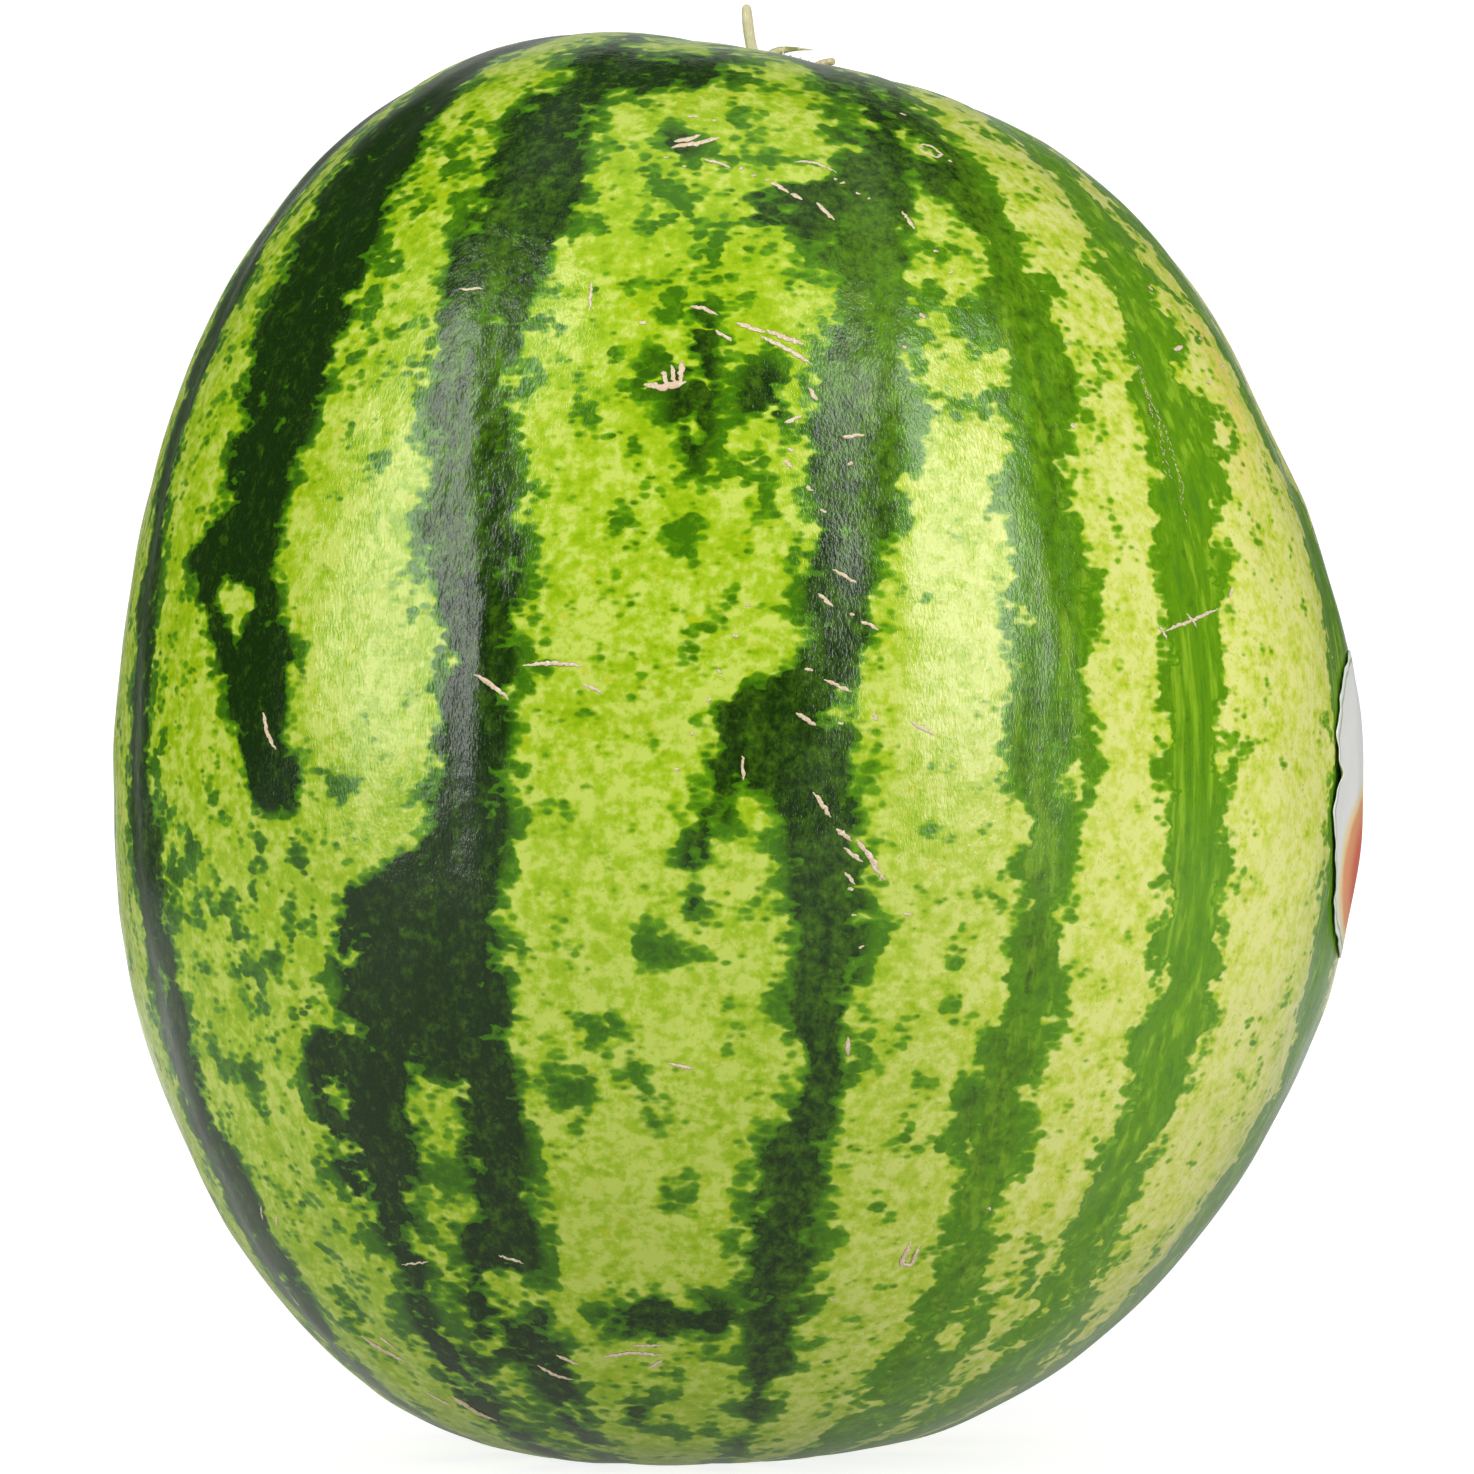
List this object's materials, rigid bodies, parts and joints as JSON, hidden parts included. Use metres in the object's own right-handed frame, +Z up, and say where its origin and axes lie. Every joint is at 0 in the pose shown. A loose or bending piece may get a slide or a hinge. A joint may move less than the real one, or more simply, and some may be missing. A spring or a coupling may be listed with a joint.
{
  "type": "watermelon",
  "caption": "Striped round-oblong watermelon standing on its blossom end, with a torn dry stem and a round paper label.",
  "frame": {"origin": "on the resting plane, under the middle of the whole object's box", "axes": "+Z up through the blossom end to the stem, +X towards the paper label, -Y the side shown from the front"},
  "size_m": [0.2522, 0.2514, 0.2942],
  "materials": {
    "rind": "waxy rind, satin gloss, dark green stripes on yellow-green",
    "dry_stem": "dry, fibrous, straw coloured",
    "label_paper": "coated paper, pale with a plain orange-red print"
  },
  "bodies": {
    "root": {"fruit_body": "rind", "stem": "dry_stem", "paper_label": "label_paper"}
  },
  "joints": []
}
